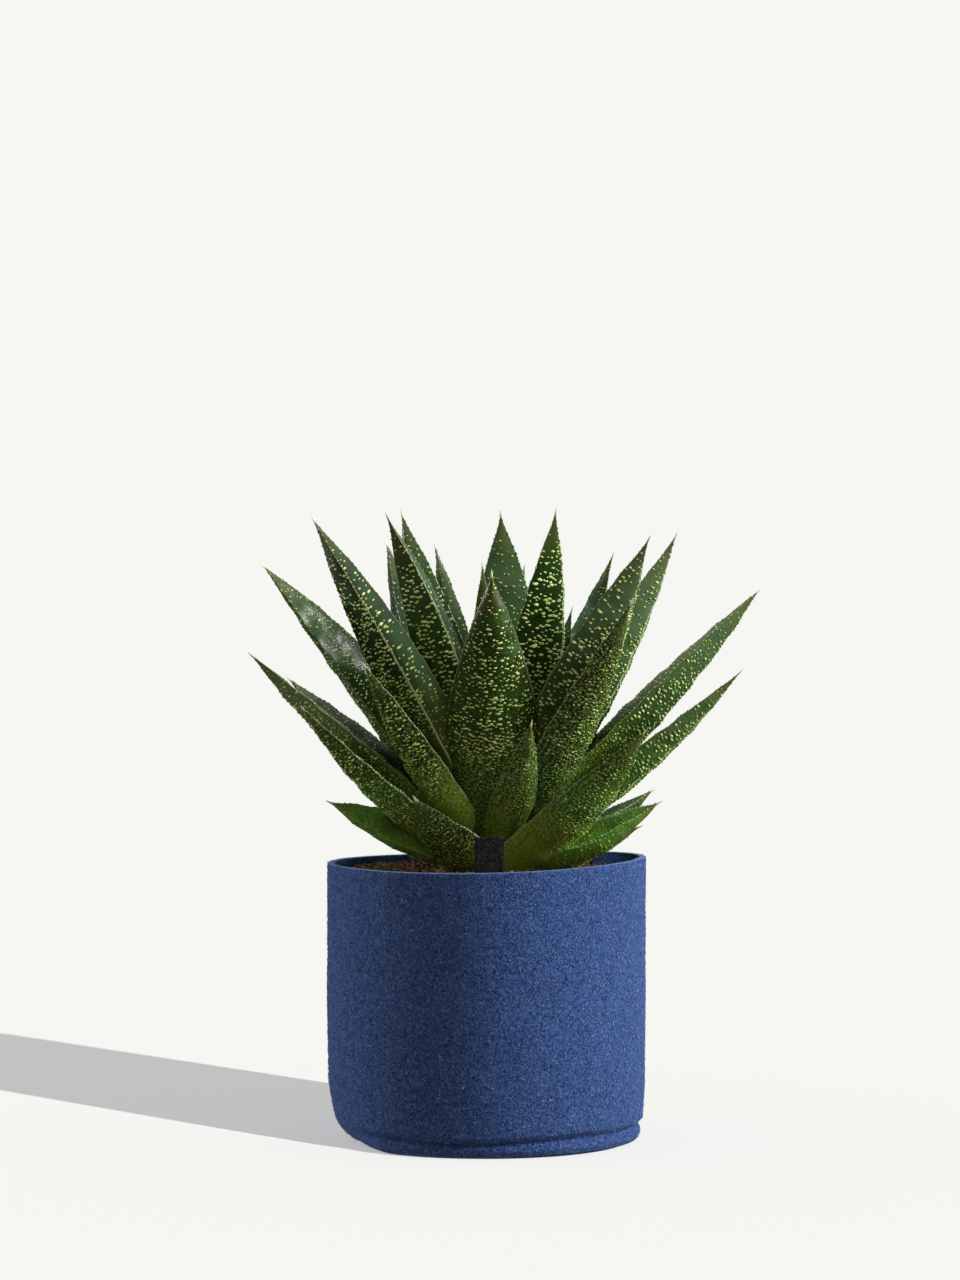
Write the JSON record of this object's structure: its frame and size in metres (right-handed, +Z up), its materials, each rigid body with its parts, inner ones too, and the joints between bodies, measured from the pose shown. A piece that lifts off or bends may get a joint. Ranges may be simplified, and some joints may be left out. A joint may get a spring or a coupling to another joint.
{
  "type": "potted gasteria",
  "caption": "Rosette succulent with thick keeled leaves, toothed pale edges and raised pale warts, growing from soil in a round felt planter.",
  "frame": {"origin": "middle of the planter's flat underside", "axes": "+Z up out of the planter, -Y towards the front with the felt tab, +X to the right as seen from the front"},
  "size_m": [0.2084, 0.1593, 0.2593],
  "materials": {
    "felt": "thick heathered blue wool felt, matt",
    "soil": "loose brown coir potting mix",
    "stem": "fleshy green stem",
    "tab_felt": "charcoal felt with grey flecks",
    "leaf": "fleshy dark green leaf with a waxy sheen and pale raised warts"
  },
  "bodies": {
    "root": {"felt_wall": "felt", "felt_base": "felt", "soil": "soil", "stem": "stem", "felt_tab": "tab_felt", "leaf_01": "leaf", "leaf_02": "leaf", "leaf_03": "leaf", "leaf_04": "leaf", "leaf_05": "leaf", "leaf_06": "leaf", "leaf_07": "leaf", "leaf_08": "leaf", "leaf_09": "leaf", "leaf_10": "leaf", "leaf_11": "leaf", "leaf_12": "leaf", "leaf_13": "leaf", "leaf_14": "leaf", "leaf_15": "leaf", "leaf_16": "leaf", "leaf_17": "leaf", "leaf_18": "leaf", "leaf_19": "leaf", "leaf_20": "leaf", "leaf_21": "leaf", "leaf_22": "leaf", "leaf_23": "leaf", "leaf_24": "leaf", "leaf_25": "leaf", "leaf_26": "leaf", "leaf_27": "leaf", "leaf_28": "leaf", "leaf_29": "leaf", "leaf_30": "leaf", "leaf_31": "leaf", "leaf_32": "leaf", "leaf_33": "leaf", "leaf_34": "leaf", "leaf_35": "leaf", "leaf_36": "leaf", "leaf_37": "leaf", "leaf_38": "leaf", "leaf_39": "leaf", "leaf_40": "leaf", "leaf_41": "leaf", "leaf_42": "leaf"}
  },
  "joints": []
}
